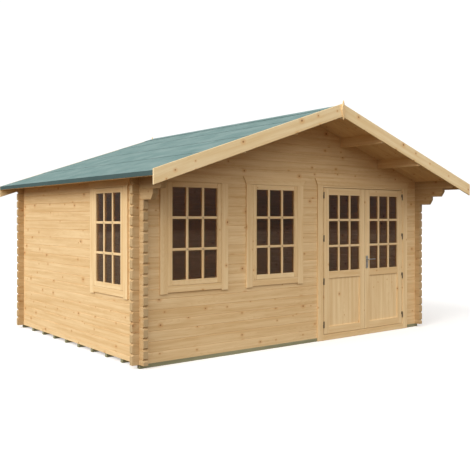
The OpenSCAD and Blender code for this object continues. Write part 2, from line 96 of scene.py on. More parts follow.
# ---- Making pieces ----
def nothing_selected():
    """Leaves edit mode and deselects every object."""
    if bpy.context.mode != "OBJECT":
        bpy.ops.object.mode_set(mode="OBJECT")
    bpy.ops.object.select_all(action="DESELECT")


def only(piece):
    """Makes one piece the selected and active object."""
    nothing_selected()
    piece.select_set(True)
    bpy.context.view_layer.objects.active = piece


def settle(piece):
    """Puts a piece's place, turn and scale into its mesh."""
    only(piece)
    bpy.ops.object.transform_apply(location=True, rotation=True, scale=True)
    return piece


def block(low, high, name="board"):
    """A box from its lowest to its highest corner."""
    low, high = Vector(low), Vector(high)
    nothing_selected()
    bpy.ops.mesh.primitive_cube_add(size=1, location=(low + high) / 2, scale=high - low)
    piece = bpy.context.active_object
    piece.name = name
    return settle(piece)


def modify(piece, kind, **settings):
    """Adds a modifier and applies it."""
    only(piece)
    modifier = piece.modifiers.new(kind.lower(), kind)
    for key, value in settings.items():
        setattr(modifier, key, value)
    bpy.ops.object.modifier_apply(modifier=modifier.name)
    return piece


def soften(piece, width=2 * MM, segments=1):
    """Takes the sharp edges off a piece."""
    return modify(piece, "BEVEL", width=width, segments=segments, limit_method="ANGLE",
                  angle_limit=math.radians(30))


def in_a_row(piece, count, step):
    """Repeats a piece count times, a step apart."""
    return modify(piece, "ARRAY", count=count, use_relative_offset=False,
                  use_constant_offset=True, constant_offset_displace=step)


def pick(piece, test, part="vertices"):
    """Opens a piece in edit mode with the vertices, edges or faces that pass the test selected."""
    only(piece)
    mesh = piece.data
    for group in (mesh.vertices, mesh.edges, mesh.polygons):
        for item in group:
            item.select = False
    for item in getattr(mesh, part):
        item.select = bool(test(item))
    mode = {"vertices": "VERT", "edges": "EDGE", "polygons": "FACE"}[part]
    bpy.ops.object.mode_set(mode="EDIT")
    bpy.ops.mesh.select_mode(type=mode)


def done():
    """Back to object mode."""
    bpy.ops.object.mode_set(mode="OBJECT")


def shift(piece, test, offset):
    """Moves the vertices that pass the test."""
    pick(piece, lambda v: test(v.co))
    bpy.ops.transform.translate(value=offset)
    done()


def joined(name, pieces):
    """Joins pieces into one object, which keeps their materials."""
    nothing_selected()
    for piece in pieces:
        piece.select_set(True)
    bpy.context.view_layer.objects.active = pieces[0]
    if len(pieces) > 1:
        bpy.ops.object.join()
    pieces[0].name = pieces[0].data.name = name
    return pieces[0]


def paint(piece, material):
    """Gives a piece one material."""
    piece.data.materials.clear()
    piece.data.materials.append(material)
    return piece


def stand_in(piece, body, slot, *nodes):
    """Rides on a body and stands for CAD nodes, which it hides. The slot is not used."""
    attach(piece, body)
    if nodes:
        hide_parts(*nodes)
    return piece


class Place:
    """A spot on a wall or a leaf: x along it, y inwards from its outer face, z up."""

    def __init__(self, origin, along=(1, 0, 0), inward=(0, 1, 0)):
        self.origin = Vector(origin)
        self.along, self.inward, self.up = Vector(along), Vector(inward), Vector((0, 0, 1))

    def point(self, x, y, z):
        return self.origin + self.along * x + self.inward * y + self.up * z

    def direction(self, x, y, z):
        return self.along * x + self.inward * y + self.up * z

    def board(self, low, high, upright_grain=None, edge=2 * MM, segments=1):
        """A planed board between two local corners, its grain along its longer side."""
        a, b = self.point(*low), self.point(*high)
        piece = block([min(p, q) for p, q in zip(a, b)], [max(p, q) for p, q in zip(a, b)])
        if upright_grain is None:
            upright_grain = high[2] - low[2] > abs(high[0] - low[0])
        paint(piece, spruce_board["Z" if upright_grain else "XY"[abs(self.along.y) > 0.5]])
        return soften(piece, edge, segments) if edge else piece


# ---- Finishes ----
class Value:
    """A number socket that can stand in a sum."""

    def __init__(self, finish, socket):
        self.finish, self.socket = finish, socket

    def __add__(self, other):
        return self.finish.math("ADD", self, other)

    def __sub__(self, other):
        return self.finish.math("SUBTRACT", self, other)

    def __rsub__(self, other):
        return self.finish.math("SUBTRACT", other, self)

    def __mul__(self, other):
        return self.finish.math("MULTIPLY", self, other)

    def __truediv__(self, other):
        return self.finish.math("DIVIDE", self, other)

    def __pow__(self, other):
        return self.finish.math("POWER", self, other)

    __radd__, __rmul__ = __add__, __mul__


class Nodes:
    """The node tree of a material or a world, emptied and ready to be filled."""

    def __init__(self, owner):
        owner.use_nodes = True
        self.tree = owner.node_tree
        self.tree.nodes.clear()

    def link(self, source, target):
        self.tree.links.new(source.socket if isinstance(source, Value) else source, target)

    def node(self, kind, settings=None, inputs=None):
        """A node of a kind, its settings first, then the values or links of its sockets."""
        made = self.tree.nodes.new("ShaderNode" + kind)
        for key, value in (settings or {}).items():
            if key == "stops":
                for stop, (position, colour) in zip(made.color_ramp.elements, value):
                    stop.position, stop.color = position, (*colour, 1)
            else:
                setattr(made, key, value)
        for key, value in (inputs or {}).items():
            socket = made.inputs[key]
            if isinstance(value, (Value, bpy.types.NodeSocket)):
                self.link(value, socket)
            elif socket.type == "RGBA" and len(value) == 3:
                socket.default_value = (*value, 1)
            else:
                socket.default_value = value
        return made


class Finish(Nodes):
    """A material being made, with its Principled shader as surface."""

    def __init__(self, name, **constants):
        self.material = bpy.data.materials.new(name)
        super().__init__(self.material)
        self.surface = self.node("BsdfPrincipled", inputs=constants)
        self.node("OutputMaterial", inputs={"Surface": self.surface.outputs["BSDF"]})

    def math(self, operation, *terms):
        made = self.node("Math", {"operation": operation}, dict(enumerate(terms)))
        return Value(self, made.outputs[0])

    def floor(self, value):
        return self.math("FLOOR", value)

    def size_of(self, value):
        return self.math("ABSOLUTE", value)

    def clamped(self, value):
        made = self.node("Clamp", inputs={"Value": value})
        return Value(self, made.outputs[0])

    def step(self, low, high, value):
        """0 below low, 1 above high, smooth between."""
        made = self.node("MapRange", {"interpolation_type": "SMOOTHSTEP"},
                         {"Value": value, "From Min": low, "From Max": high})
        return Value(self, made.outputs["Result"])

    def vector(self, x, y, z):
        return self.node("CombineXYZ", inputs={"X": x, "Y": y, "Z": z}).outputs[0]

    def parts(self, vector):
        split = self.node("SeparateXYZ", inputs={0: vector})
        return [Value(self, output) for output in split.outputs]

    def noise(self, vector, scale=1.0, detail=2.0, roughness=0.5):
        made = self.node("TexNoise", {"noise_dimensions": "3D"},
                         {"Vector": vector, "Scale": scale, "Detail": detail,
                          "Roughness": roughness})
        return Value(self, made.outputs["Fac"])

    def mix(self, factor, first, second, blend="MIX"):
        """A colour between two colours."""
        made = self.node("Mix", {"data_type": "RGBA", "blend_type": blend},
                         {0: factor, 6: first, 7: second})
        return made.outputs[2]

    def place(self, turn=0.0):
        """The piece's own coordinates in metres, turned about the y axis."""
        where = self.node("TexCoord").outputs["Object"]
        if turn:
            where = self.node("Mapping", inputs={"Vector": where,
                                                 "Rotation": (0, turn, 0)}).outputs[0]
        return where

    def bump(self, height, distance, strength=1.0):
        made = self.node("Bump", inputs={"Height": height, "Distance": distance,
                                         "Strength": strength})
        self.link(made.outputs["Normal"], self.surface.inputs["Normal"])

    def colour(self, colour):
        self.link(colour, self.surface.inputs["Base Color"])

    def roughness(self, value):
        self.link(value, self.surface.inputs["Roughness"])


PALE = (0.86, 0.64, 0.365)            # early wood
WARM = (0.69, 0.455, 0.215)           # late wood
KNOT = (0.30, 0.125, 0.042)
KNOT_STEP = 0.42                      # mean distance of the knots along the grain
EDGE_PITCH = 0.1                      # height of the knots' cells where boards are islands
# painted shade for the shadowed corner niches, multiplied over the log ends past a crossing wall
PAINTED_END_SHADE = (0.70, 0.68, 0.66)          # what darkens the log ends past a crossing wall


def tinted(colour, *factors):
    """A colour times one factor, or times one for each channel."""
    return [c * f for c, f in zip(colour, factors * 3 if len(factors) == 1 else factors)]


def wood(name, grain, across, pitch=None, start=0.0, pale=PALE, warm=WARM, turn=0.0,
         knots=0.55, knot_size=1.0, corners=None):
    """Planed softwood. The grain runs along one axis, boards lie side by side along another,
    a pitch apart from start on, or are the piece's separate islands if there is no pitch.
    corners gives the middle of a wall along the grain and half its length: the log ends
    past it are painted darker, a painted shade for the shadowed corner niches."""
    finish = Finish(name, **{"IOR": 1.45, "Specular IOR Level": 0.3})
    where = finish.place(turn)
    axes = dict(zip("XYZ", finish.parts(where)))
    depth = ({"X", "Y", "Z"} - {grain, across}).pop()
    u, v, w = axes[grain], axes[across], axes[depth]
    if pitch:
        row = (v - start) / pitch
        number = finish.floor(row)
    else:
        pitch = EDGE_PITCH
        row = (v - start) / pitch
        island = finish.node("NewGeometry").outputs["Random Per Island"]
        number = finish.floor(Value(finish, island) * 997)
    chance = finish.node("TexWhiteNoise", {"noise_dimensions": "1D"}, {"W": number})
    draws = finish.parts(chance.outputs["Color"])
    away = [draw * 40 for draw in draws]

    # scattered knots with bent grain round them
    cell = finish.vector(u / KNOT_STEP + away[0], row, 0.0)
    points = finish.node("TexVoronoi", {"voronoi_dimensions": "2D"},
                         {"Vector": cell, "Scale": 1.0, "Randomness": 1.0})
    near = finish.parts(points.outputs["Position"])
    here = finish.parts(cell)
    along = (here[0] - near[0]) * (KNOT_STEP * 0.8)
    over = (here[1] - near[1]) * pitch
    apart = finish.math("SQRT", along * along + over * over)
    traits = finish.parts(points.outputs["Color"])
    radius = (traits[0] ** 2.0 * 0.0095 + 0.0045) * knot_size
    present = finish.step(1 - knots, 1.02 - knots, traits[1])
    ratio = apart / radius
    knot = (1 - finish.step(0.35, 1.25, ratio)) * present
    halo = (1 - finish.step(0.7, 4.2, ratio)) * present

    # annual rings, drawn out along the grain, over slow streaks and fine fibres
    flow = finish.noise(finish.vector(u * 0.42 + away[1], v * 5.0 + away[2], w * 5.0),
                        1.0, 1.5, 0.4)
    late = finish.math("FRACT", flow * 46 + halo * 1.6) ** 3.0
    streak = finish.noise(finish.vector(u * 0.9 + away[2], v * 22 + away[0], w * 22),
                          1.0, 4.0, 0.6)
    fibre = finish.noise(finish.vector(u * 9, v * 420, w * 420), 1.0, 2.0, 0.6)
    cloud = finish.noise(finish.vector(u * 2.6 + away[0], v * 7.0 + away[1], w * 7.0),
                         1.0, 3.0, 0.55)

    # end grain on the faces that cut across the grain
    normals = dict(zip("XYZ", finish.parts(finish.node("TexCoord").outputs["Normal"])))
    end = finish.step(0.8, 0.97, finish.size_of(normals[grain]))
    wobble = finish.noise(where, 14.0, 2.0, 0.5)
    centre = finish.math("SQRT", (v - start) * (v - start) + w * w) + wobble * 0.02
    end_ring = finish.math("FRACT", centre * 190) ** 2.0

    tone = finish.step(0.32, 0.68, streak) * 0.62 + late * 0.26 + draws[1] * 0.34 \
        + (cloud - 0.5) * 0.55 + (fibre - 0.5) * 0.10
    face = finish.mix(finish.clamped(tone), pale, warm)
    face = finish.mix(halo * 0.52, face, tinted(warm, 0.90, 0.66, 0.46))
    face = finish.mix(knot * 0.92, face, KNOT)
    cut = finish.mix(end_ring * 0.5 + wobble * 0.25, tinted(pale, 0.94), tinted(warm, 0.74))
    face = finish.mix(end, face, cut)
    # painted shade: the log ends past the crossing wall are multiplied darker to stand in for the
    # corners' shadow
    if corners:
        middle, half = corners
        past = finish.step(half, half + 4 * MM, finish.size_of(u - middle))
        face = finish.mix(past, face, PAINTED_END_SHADE, blend="MULTIPLY")
    finish.colour(face)
    finish.roughness(0.64 - late * 0.10 + end * 0.2)
    finish.bump(late * 0.5 + fibre * 0.5 - knot * 0.3, 0.0006, 0.55)
    return finish.material


def roofing_felt():
    """Mineral felt: fine grit with pale and dark grains, and stains that run down the slope."""
    finish = Finish("mineral_felt", **{"IOR": 1.5, "Specular IOR Level": 0.2})
    where = finish.place()
    x, y, _ = finish.parts(where)
    grit = finish.noise(where, 620.0, 2.0, 0.7)
    runs = finish.noise(finish.vector(x * 0.9, y * 5.5, 0.0), 1.0, 4.0, 0.65)
    stains = finish.noise(finish.vector(x * 3.2, y * 2.1, 0.0), 1.0, 5.0, 0.65)
    strip = finish.node("NewGeometry").outputs["Random Per Island"]
    deep, washed = (0.145, 0.250, 0.247), (0.250, 0.358, 0.352)
    run_mark, strip_tint = (0.128, 0.196, 0.192), (0.165, 0.26, 0.26)
    pale_grain, dark_grain = (0.46, 0.53, 0.52), (0.09, 0.13, 0.13)
    bitumen = (0.040, 0.072, 0.074)
    base = finish.mix(finish.step(0.32, 0.70, stains), deep, washed)
    base = finish.mix(finish.step(0.50, 0.78, runs) * 0.55, base, run_mark)
    base = finish.mix(Value(finish, strip) * 0.25, base, strip_tint)
    base = finish.mix(finish.step(0.55, 0.75, grit) * 0.45, base, pale_grain)
    base = finish.mix(finish.step(0.45, 0.28, grit) * 0.6, base, dark_grain)
    # faces that look sideways are cut edges of dark bitumen
    normal = finish.parts(finish.node("TexCoord").outputs["Normal"])
    side = 1 - finish.step(0.35, 0.75, finish.size_of(normal[2]))
    finish.colour(finish.mix(side * 0.85, base, bitumen))
    finish.roughness(0.85 + grit * 0.1)
    finish.bump(grit, 0.0008, 0.7)
    return finish.material


def metal(name, colour, rough):
    """Brushed metal with fine strokes along z."""
    finish = Finish(name, Metallic=1.0)
    x, y, z = finish.parts(finish.place())
    strokes = finish.noise(finish.vector(x * 400, y * 400, z * 30), 1.0, 3.0, 0.6)
    wear = finish.noise(finish.place(), 45.0, 3.0, 0.6)
    finish.colour(finish.mix(wear * 0.7, colour, tinted(colour, 0.72)))
    finish.roughness(rough + (strokes - 0.5) * 0.18 + (wear - 0.5) * 0.12)
    finish.bump(strokes, 0.0002, 0.25)
    return finish.material


def glass():
    """Tinted glass with a faint smear."""
    finish = Finish("window_glass", **{"Transmission Weight": 1.0, "IOR": 1.45,
                                       "Specular IOR Level": 0.12})
    smear = finish.noise(finish.place(), 3.0, 4.0, 0.6)
    finish.colour(finish.mix(smear, (0.60, 0.42, 0.27), (0.66, 0.48, 0.33)))
    finish.roughness(smear * 0.03)
    return finish.material


spruce_logs_front = wood("spruce_logs_front", "X", "Z", log_h, ground,
                         corners=(0.0, wall_half))
spruce_logs_side = wood("spruce_logs_side", "Y", "Z", log_h, ground - log_h / 2,
                        corners=((front_face + back_face) / 2, (back_face - front_face) / 2))
spruce_board = {axis: wood("spruce_board_" + axis.lower(), axis, "X" if axis != "X" else "Z",
                           knots=0.26, knot_size=0.8, pale=(0.91, 0.70, 0.41),
                           warm=(0.76, 0.52, 0.26)) for axis in "XYZ"}
purlin_wood = wood("purlin_wood", "Y", "X", knots=0.3)
SIDES = {-1: "left", 1: "right"}
soffit_pitch = (roof_back - roof_front) / roof_planks
soffit_wood = {side: wood("roof_board_" + name, "X", "Y", soffit_pitch, roof_front,
                          turn=-side * roof_pitch)
               for side, name in SIDES.items()}
verge_wood = {side: wood("verge_board_" + name, "X", "Z", knots=0.6, turn=-side * roof_pitch,
                         pale=(0.95, 0.78, 0.50), warm=(0.82, 0.60, 0.31))
              for side, name in SIDES.items()}
floor_wood = wood("floor_wood", "Y", "X", knots=0.3)
treated_wood = wood("treated_wood", "X", "Y", knots=0.4, pale=(0.34, 0.33, 0.20),
                    warm=(0.24, 0.23, 0.13))
felt_finish = roofing_felt()
glass_finish = glass()
hinge_metal = metal("hinge_metal", (0.20, 0.155, 0.11), 0.42)
handle_metal = metal("handle_metal", (0.62, 0.62, 0.62), 0.30)

nothing_selected()
node_finishes = {
    "left_wall": spruce_logs_side, "right_wall": spruce_logs_side,
    "back_wall": spruce_logs_front, "back_gable": spruce_logs_front,
    "front_wall_left": spruce_logs_front, "front_wall_right": spruce_logs_front,
    "front_wall_over_door": spruce_logs_front, "front_gable": spruce_logs_front,
    "purlins": purlin_wood, "eave_battens": purlin_wood,
    "frame_hinges": hinge_metal, "left_leaf_hinges": hinge_metal,
    "right_leaf_hinges": hinge_metal,
}
for node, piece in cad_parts.items():
    if node in node_finishes:
        paint(piece, node_finishes[node])
    elif "glass" in node:
        paint(piece, glass_finish)


# ---- Windows ----
def window_place(name):
    """The place of a window, at the face of the wall, mid-width at its lower edge, with its
    width and height."""
    low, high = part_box(name + "_frame")
    if name == "side_window":
        return (Place((left_face, (low.y + high.y) / 2, low.z), (0, -1, 0), (1, 0, 0)),
                high.y - low.y, high.z - low.z)
    return Place(((low.x + high.x) / 2, front_face, low.z)), high.x - low.x, high.z - low.z


def box_ring(place, half, low, high, width, front, back, edge=2 * MM):
    """Two uprights with a bottom and a top between them."""
    inner = half - width
    return [
        place.board((-half, front, low), (-inner, back, high), True, edge),
        place.board((inner, front, low), (half, back, high), True, edge),
        place.board((-inner, front, low), (inner, back, low + width), False, edge),
        place.board((-inner, front, high - width), (inner, back, high), False, edge),
    ]


def glazing_bars(place, x0, x1, z0, z1, front, back):
    """Bars that divide a pane into three by three."""
    rounding = 5 * MM
    bars = []
    for i in (1, 2):
        x = x0 + (x1 - x0 - 2 * bar_w) / 3 * i + bar_w * (i - 1)
        z = z0 + (z1 - z0 - 2 * bar_w) / 3 * i + bar_w * (i - 1)
        bars.append(place.board((x, front, z0), (x + bar_w, back, z1), True, rounding, 2))
        bars.append(place.board((x0, front, z), (x1, back, z + bar_w), False, rounding, 2))
    return bars


def head_board(place, half, low, height):
    """A head board whose ends splay outwards to the top."""
    board = place.board((-half, -trim_t, low), (half, 0, low + height), False, edge=0)
    top = place.point(0, 0, low + height).z
    middle = place.origin
    for side in (-1, 1):
        shift(board, lambda co: co.z > top - MM and (co - middle).dot(place.along) * side > 0,
              place.direction(side * head_splay, 0, 0))
    return soften(board, eased, 2)


def window(name):
    """Frame, sash with glazing bars, and trim of a window."""
    place, width, height = window_place(name)
    half = width / 2
    sash_low, sash_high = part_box(name + "_sash")
    sash_w = max(sash_high.x - sash_low.x, sash_high.y - sash_low.y)
    sash_inset = (width - sash_w) / 2
    pane_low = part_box(name + "_glass")[0]
    across = 0 if name == "side_window" else 1
    glass_y = pane_low[across] - place.origin[across]
    sash_front = sash_low[across] - place.origin[across]
    sash_back = sash_high[across] - place.origin[across]
    frame_boards = box_ring(place, half, 0, height, frame_t - sash_rebate, 0, sash_back)
    frame_boards += box_ring(place, half, 0, height, frame_t + stop_w, sash_back, log_t)
    stand_in(joined(name + "_frame_boards", frame_boards), "cabin", "joinery", name + "_frame")
    edge = half - sash_inset
    sash = box_ring(place, edge, sash_inset, height - sash_inset, sash_rail,
                    sash_front, sash_back, eased)
    opening = edge - sash_rail
    for front, back in ((sash_front + bar_set, glass_y),
                        (glass_y + glass_t, sash_back - bar_set)):
        sash += glazing_bars(place, -opening, opening, sash_inset + sash_rail,
                             height - sash_inset - sash_rail, front, back)
    stand_in(joined(name + "_sash_boards", sash), "cabin", "joinery", name + "_sash")

    trim_low, trim_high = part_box(name + "_trim")
    outer = max(trim_high.x - trim_low.x, trim_high.y - trim_low.y) / 2 - head_splay
    inner = outer - trim_w
    low = trim_low.z - place.origin.z
    high = trim_high.z - place.origin.z
    trim = [place.board((side * inner, -trim_t, low), (side * outer, 0, high - head_h),
                        True, eased, 2) for side in SIDES]
    sill_z = low + sill_drop
    trim.append(place.board((-inner, -trim_t, sill_z), (inner, 0, sill_z + sill_h),
                            False, eased, 2))
    trim.append(head_board(place, outer, high - head_h, head_h))
    stand_in(joined(name + "_trim_boards", trim), "cabin", "trim_board", name + "_trim")


for name in ("left_front_window", "middle_window", "side_window"):
    window(name)


# ---- Door frame and trim ----
door_low, door_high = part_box("door_frame")
door = Place(((door_low.x + door_high.x) / 2, front_face, ground))
door_half = (door_high.x - door_low.x) / 2          # to the outside of the jambs
door_top = door_high.z - ground
jamb_half = door_half - frame_t                     # to the faces that the leaves close between
threshold_h = 32 * MM
head_reveal = 24 * MM
jamb_top = door_top - frame_t
trim_low, trim_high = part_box("door_trim")
reveal_half = (trim_high.x - trim_low.x) / 2 - head_splay - trim_w
leaf_front, leaf_back = (corner.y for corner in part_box("left_leaf"))
leaf_t = leaf_back - leaf_front
leaf_proud = front_face - leaf_front                # the leaves' faces stand before the wall
stop_y = leaf_t - leaf_proud + door_gap
lip = stop_w + door_gap                             # the stops behind the leaves

door_boards = []
for side in SIDES:
    door_boards.append(door.board((side * jamb_half, 0, threshold_h),
                                  (side * door_half, log_t, door_top), True))
    door_boards.append(door.board((side * jamb_half, -leaf_proud, threshold_h),
                                  (side * reveal_half, 0, jamb_top + head_reveal), True))
    door_boards.append(door.board((side * (jamb_half - lip), stop_y, threshold_h),
                                  (side * jamb_half, log_t, jamb_top), True))
door_boards += [
    door.board((-jamb_half, 0, jamb_top), (jamb_half, log_t, door_top), False),
    door.board((-jamb_half, -leaf_proud, jamb_top), (jamb_half, 0, jamb_top + head_reveal), False),
    door.board((lip - jamb_half, stop_y, jamb_top - lip), (jamb_half - lip, log_t, jamb_top),
               False),
    door.board((-door_half, 0, 0), (door_half, log_t, threshold_h), False),
]
stand_in(joined("door_frame_boards", door_boards), "cabin", "joinery", "door_frame")

low = trim_low.z - ground
head_low = trim_high.z - ground - head_h
outer = reveal_half + trim_w
door_trim = [door.board((side * reveal_half, -trim_t, low), (side * outer, 0, head_low),
                        True, eased, 2) for side in SIDES]
door_trim.append(door.board((-reveal_half, -trim_t, low), (reveal_half, 0, threshold_h),
                            False, eased, 2))
door_trim.append(head_board(door, outer, head_low, head_h))
stand_in(joined("door_trim_boards", door_trim), "cabin", "trim_board", "door_trim")


# ---- Door leaves ----
def door_panel(place, x0, x1, z0, z1, y0, y1):
    """A flat panel with a small bead round it on both faces, where it meets stiles and rails."""
    panel = place.board((x0, y0, z0), (x1, y1, z1), True, edge=0)
    for outward in (-1, 1):
        facing = place.direction(0, outward, 0)
        pick(panel, lambda face: face.normal.dot(facing) > 0.9 and face.area > 0.1, "polygons")
        bpy.ops.mesh.inset(thickness=leaf_lap + eased)
        bpy.ops.mesh.inset(thickness=5 * MM)
        bpy.ops.transform.translate(value=facing * -1.5 * MM)
        done()
    return panel


def leaf(side, hand):
    """A leaf, measured from its hinge side: stiles, rails, glazing bars and panel."""
    name, body = hand + "_leaf", hand + "_door"
    low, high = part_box(name)
    place = Place((high.x if side > 0 else low.x, low.y, low.z), (-side, 0, 0))
    width, height = high.x - low.x, high.z - low.z
    glass_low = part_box(name + "_glass")[0]
    panel_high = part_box(name + "_panel")[1]
    z_panel = leaf_low_rail
    z_mid = panel_high.z - leaf_lap - place.origin.z
    z_glass = glass_low.z + leaf_lap - place.origin.z
    z_top = height - leaf_top_rail
    glass_y = glass_low.y - place.origin.y
    inner = width - leaf_stile
    uprights = [place.board((0, 0, 0), (leaf_stile, leaf_t, height), True, eased, 2)]
    # the meeting stile narrows to the back, so that the leaves part freely
    meeting_slope = 3 * MM
    meeting = place.board((inner, 0, 0), (width, leaf_t, height), True, edge=0)
    back = place.point(0, leaf_t, 0).y
    shift(meeting, lambda co: co.y > back - MM and
          (co - place.origin).dot(place.along) > width - MM,
          place.direction(-meeting_slope, 0, 0))
    uprights.append(soften(meeting, eased, 2))
    rails = [place.board((leaf_stile, 0, low), (inner, leaf_t, high), False, eased, 2)
             for low, high in ((0, z_panel), (z_mid, z_glass), (z_top, height))]
    bars = []
    for front, behind in ((bar_set, glass_y), (glass_y + glass_t, leaf_t - bar_set)):
        bars += glazing_bars(place, leaf_stile, inner, z_glass, z_top, front, behind)
    stand_in(joined(name + "_boards", uprights + rails + bars), body, "joinery", name)

    panel_y = (leaf_t - panel_t) / 2
    panel = door_panel(place, leaf_stile - leaf_lap, inner + leaf_lap, z_panel - leaf_lap,
                       z_mid + leaf_lap, panel_y, panel_y + panel_t)
    stand_in(joined(name + "_panel_board", [panel]), body, "joinery", name + "_panel")


for side, hand in SIDES.items():
    leaf(side, hand)


# ---- Roof ----
def sloping_board(side, x0, x1, low, high, y0, y1):
    """A board on one slope from x0 to x1, with plumb ends, between two heights above the
    underside of the roof boards."""
    near, far = sorted((side * x0, side * x1))
    piece = block((near, y0, ridge_z - x0 * roof_slope + low),
                  (far, y1, ridge_z - x0 * roof_slope + high))
    shift(piece, lambda co: abs(co.x) > (x0 + x1) / 2, (0, 0, -(x1 - x0) * roof_slope))
    return piece


strip_count, strip_lap = 4, 80 * MM
sheet = felt_v / 2
fold = 4 * MM                              # width of the felt's turned-down edge
for side, name in SIDES.items():
    first = sloping_board(side, 0, boards_x, 0, board_v, roof_front, roof_front + soffit_pitch)
    paint(soften(first, 2.5 * MM), soffit_wood[side])
    in_a_row(first, roof_planks, (0, soffit_pitch, 0))
    stand_in(joined("roof_planks_" + name, [first]), "cabin", "roof_timber",
             "roof_boards_" + name)

    # lapped strips, the lowest turned down over the eave
    strips = []
    reach = eave_x / strip_count
    for i in range(strip_count):
        top = max(0, i * reach - strip_lap)
        edge_x = (i + 1) * reach
        strip = sloping_board(side, top, edge_x, board_v, board_v + sheet,
                              roof_front, roof_back)
        # the lower edge lies on the next strip
        shift(strip, lambda co: abs(co.x) > edge_x - MM, (0, 0, sheet))
        if i == strip_count - 1:
            pick(strip, lambda v: True)
            bpy.ops.mesh.bisect(plane_co=(side * (eave_x - fold), 0, 0), plane_no=(1, 0, 0))
            done()
            drop = ridge_z - eave_x * roof_slope + board_v - felt_low.z
            pick(strip, lambda face: face.normal.z < -0.5 and
                 abs(face.center.x) > eave_x - fold, "polygons")
            bpy.ops.mesh.extrude_region_move(TRANSFORM_OT_translate={"value": (0, 0, -drop)})
            done()
            soften(strip, 1.5 * MM, 2)
        strips.append(paint(strip, felt_finish))
    stand_in(joined("felt_strips_" + name, strips), "cabin", "roof_felt", "roof_felt_" + name)

    barge = []
    barge_top = barge_top_z - ridge_z
    for y0, top in ((roof_front - barge_t, barge_top), (roof_back, board_v + felt_v)):
        board = sloping_board(side, 0, eave_x, top - barge_v, top, y0, y0 + barge_t)
        barge.append(paint(soften(board, 4 * MM, 2), verge_wood[side]))
    stand_in(joined("verge_boards_" + name, barge), "cabin", "trim_board",
             "bargeboards_" + name)

# ridge cap of felt
cap_x, cap_t = 170 * MM, 3 * MM
felt_top = ridge_z + board_v + felt_v
cap = block((-cap_x, roof_front, felt_top), (cap_x, roof_back, felt_top + cap_t))
pick(cap, lambda v: True)
bpy.ops.mesh.bisect(plane_co=(0, 0, 0), plane_no=(1, 0, 0))
done()
shift(cap, lambda co: abs(co.x) > cap_x / 2, (0, 0, -cap_x * roof_slope))
paint(cap, felt_finish)
stand_in(joined("ridge_felt", [cap]), "cabin", "roof_felt")

# diamonds over the bargeboards' joints
finial_low, finial_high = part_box("finials")
finial_t = 18 * MM
finial_h = 234 * MM
rear_drop = barge_top_z - felt_top         # the rear boards end at the felt
diamonds = []
for y0, top in ((finial_low.y, finial_high.z),
                (finial_high.y - finial_t, finial_high.z - rear_drop)):
    centre = (0, y0 + finial_t / 2, top - finial_h / 2)
    nothing_selected()
    bpy.ops.mesh.primitive_cylinder_add(vertices=4, radius=0.5, depth=1,
                                        rotation=(math.pi / 2, 0, 0), location=centre)
    diamond = settle(bpy.context.active_object)
    pick(diamond, lambda v: True)
    bpy.ops.transform.resize(value=(finial_high.x - finial_low.x, finial_t, finial_h),
                             center_override=centre)
    done()
    diamonds.append(paint(soften(diamond, eased, 2), spruce_board["Z"]))
stand_in(joined("gable_diamonds", diamonds), "cabin", "trim_board", "finials")


# ---- Floor ----
floor_low, floor_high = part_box("floor_boards")
planks = 38
plank_w = (floor_high.x - floor_low.x) / planks
plank = block(floor_low, (floor_low.x + plank_w, floor_high.y, floor_high.z))
paint(soften(plank, 1.5 * MM), floor_wood)
in_a_row(plank, planks, (plank_w, 0, 0))
stand_in(joined("floor_planks", [plank]), "cabin", "floor_board", "floor_boards")

bearer_low, bearer_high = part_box("floor_bearers")
bearer_w, bearer_count = 49 * MM, 10
bearer_step = (bearer_high.y - bearer_low.y - bearer_w) / (bearer_count - 1)
bearer = block(bearer_low, (bearer_high.x, bearer_low.y + bearer_w, bearer_high.z))
paint(soften(bearer, eased, 2), treated_wood)
in_a_row(bearer, bearer_count, (0, bearer_step, 0))
stand_in(joined("bearer_timbers", [bearer]), "cabin", "treated_timber", "floor_bearers")


# ---- Lock plates and levers ----
plate_low, plate_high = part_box("lock_plates")
lever_low, lever_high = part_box("lever_handle")
lever_r = 8 * MM
spindle = Vector((lever_low.x + lever_r, 0, (lever_low.z + lever_high.z) / 2))
lock_z = spindle.z - 72 * MM               # the keyhole's cylinder below the lever
key_w, key_h = 8 * MM, 22 * MM
screw_inset = 9 * MM


def rounded_plate(low, high):
    """A lock plate with rounded corners and softened edges."""
    plate = block(low, high)
    pick(plate, lambda edge: abs((plate.data.vertices[edge.vertices[0]].co
                                  - plate.data.vertices[edge.vertices[1]].co).y) > MM, "edges")
    bpy.ops.mesh.bevel(offset=9 * MM, segments=5, affect="EDGES")
    done()
    return soften(plate, 1 * MM, 2)


def turned(radius, y0, y1, x, z, sides=32, edge=1 * MM):
    """A round part whose axis runs through the leaf."""
    nothing_selected()
    bpy.ops.mesh.primitive_cylinder_add(vertices=sides, radius=radius, depth=y1 - y0,
                                        rotation=(math.pi / 2, 0, 0),
                                        location=(x, (y0 + y1) / 2, z))
    return soften(settle(bpy.context.active_object), edge, 2)


plate_parts = []
plate_t, rose_t, key_t, screw_t = 4 * MM, 7 * MM, 6 * MM, 5.5 * MM
for outward, face in ((-1, leaf_front), (1, leaf_back)):
    depths = {height: sorted((face, face + outward * height))
              for height in (plate_t, rose_t, key_t, screw_t)}
    y0, y1 = depths[plate_t]
    plate_parts.append(rounded_plate((plate_low.x, y0, plate_low.z),
                                     (plate_high.x, y1, plate_high.z)))
    plate_parts.append(turned(12 * MM, *depths[rose_t], spindle.x, spindle.z))
    plate_parts.append(turned(8.5 * MM, *depths[rose_t], spindle.x, lock_z))
    y0, y1 = depths[key_t]
    key = block((spindle.x - key_w / 2, y0, lock_z - key_h),
                (spindle.x + key_w / 2, y1, lock_z))
    plate_parts.append(soften(key, 1 * MM, 2))
    for z in (plate_low.z + screw_inset, plate_high.z - screw_inset):
        plate_parts.append(turned(3.5 * MM, *depths[screw_t], spindle.x, z, 16))
for part in plate_parts:
    paint(part, handle_metal)
stand_in(joined("lock_furniture", plate_parts), "right_door", "handle_steel", "lock_plates")


